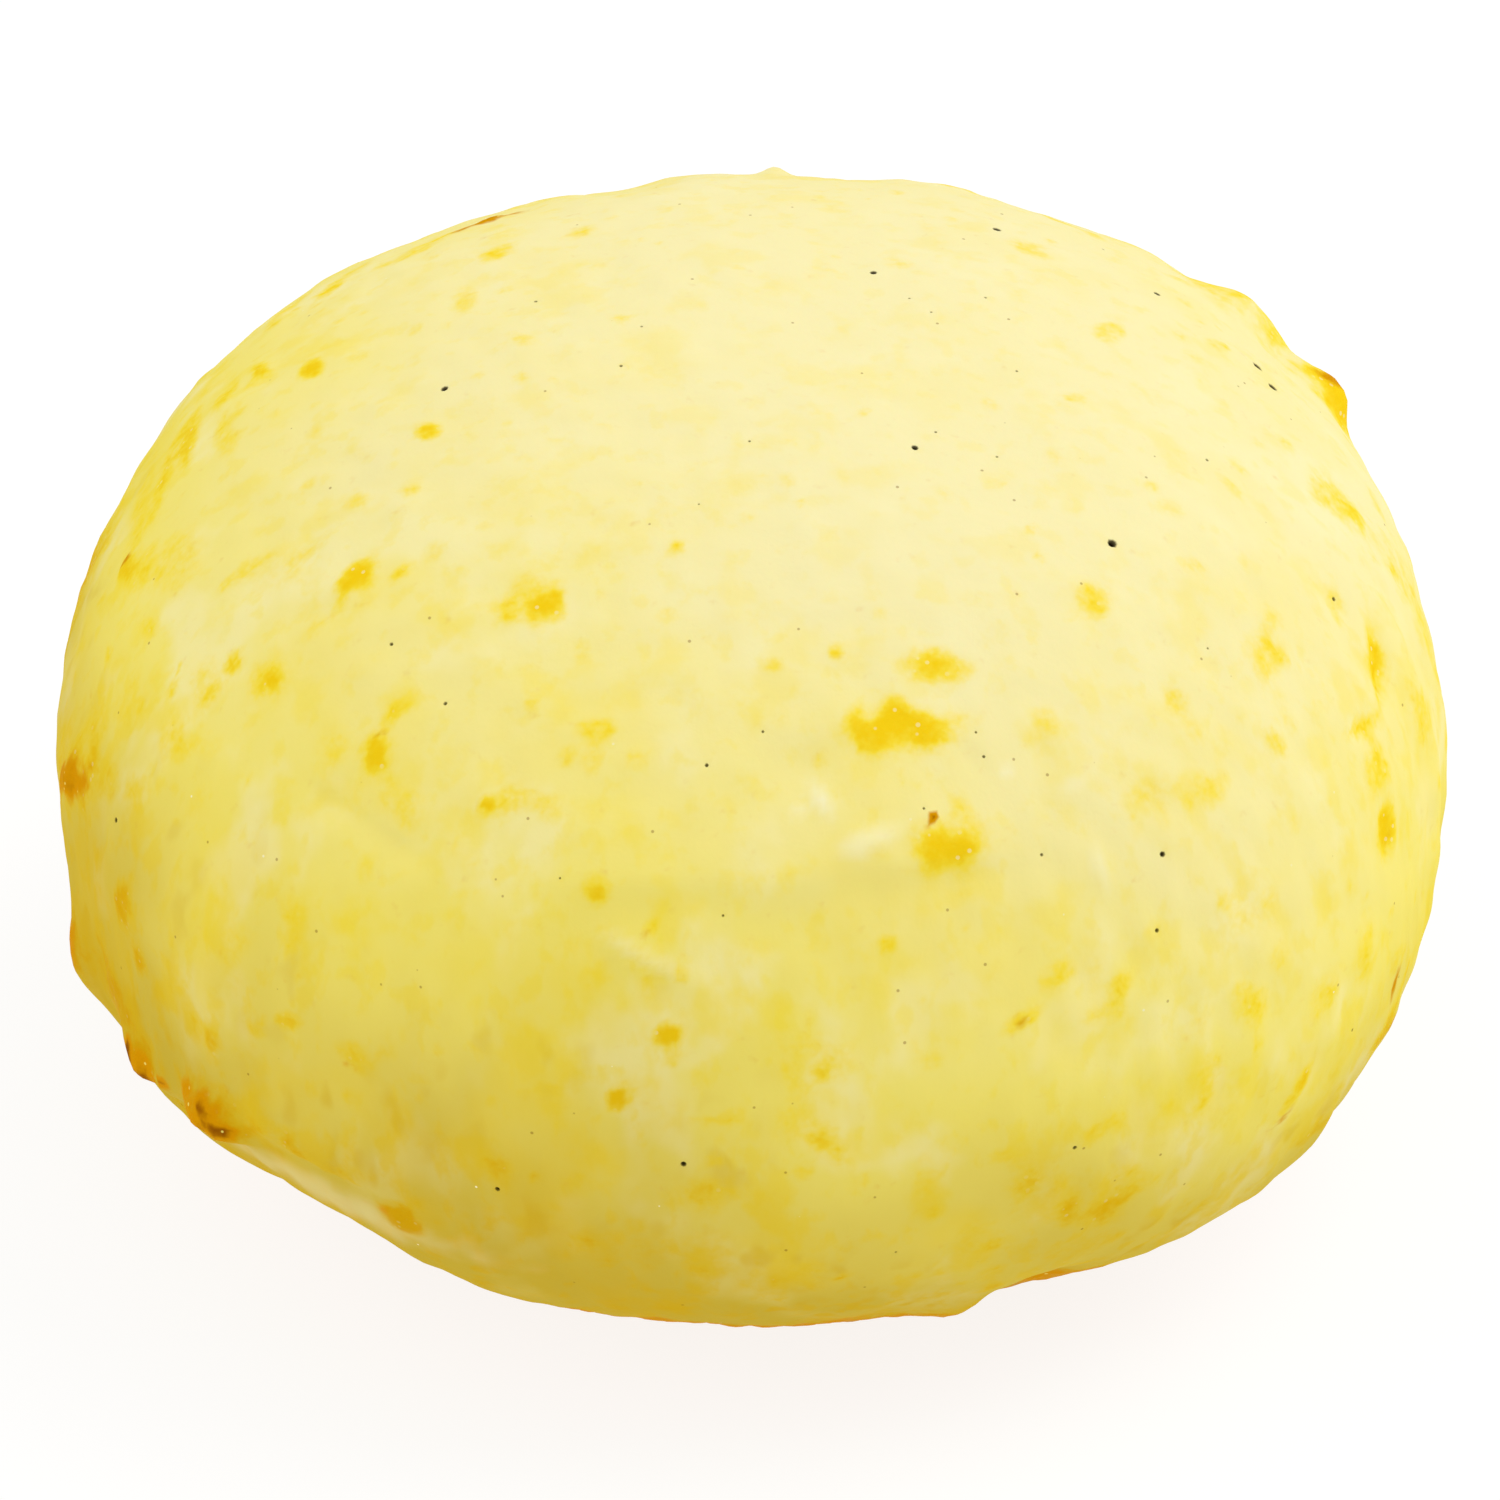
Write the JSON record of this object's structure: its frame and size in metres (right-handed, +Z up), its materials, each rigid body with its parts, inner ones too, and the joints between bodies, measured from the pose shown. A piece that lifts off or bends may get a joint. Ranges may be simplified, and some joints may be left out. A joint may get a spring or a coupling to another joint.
{
  "type": "bread roll",
  "caption": "Small round cheese-bread roll: a plump domed crust with toasted flecks, a browned skirt of dough at its foot and a flat spot that it rests on.",
  "frame": {"origin": "on the surface that the roll rests on, below the middle of its outline seen from above", "axes": "+Z up, +X along the roll's longest side, -Y towards its front"},
  "size_m": [0.0597, 0.0583, 0.0398],
  "materials": {
    "crust": "soft, dry baked crust, pale yellow, with golden toasted flecks and browned edges"
  },
  "bodies": {
    "root": {"bread_roll": "crust"}
  },
  "joints": []
}
